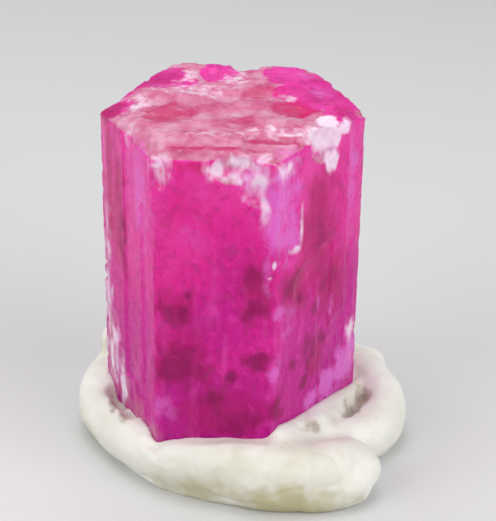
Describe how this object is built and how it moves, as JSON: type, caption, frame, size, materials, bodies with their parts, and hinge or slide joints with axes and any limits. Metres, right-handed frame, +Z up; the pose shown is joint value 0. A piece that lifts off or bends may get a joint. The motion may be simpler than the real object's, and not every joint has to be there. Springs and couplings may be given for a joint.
{
  "type": "red beryl crystal on putty",
  "caption": "Stout hexagonal red beryl prism with a flat, stepped and chipped end, standing upright in a coiled roll of white mounting putty, for display.",
  "frame": {"origin": "centre of the object's bounding box at the surface that the putty stands on", "axes": "+Z up along the crystal, -Y towards its wide front prism face, +X to that face's right"},
  "size_m": [0.0132, 0.0122, 0.0139],
  "materials": {
    "red_beryl": "glossy, cloudy inside, frosted on the end",
    "white_putty": "matte, slightly greasy"
  },
  "bodies": {
    "root": {"beryl_crystal": "red_beryl", "mounting_putty": "white_putty"}
  },
  "joints": []
}
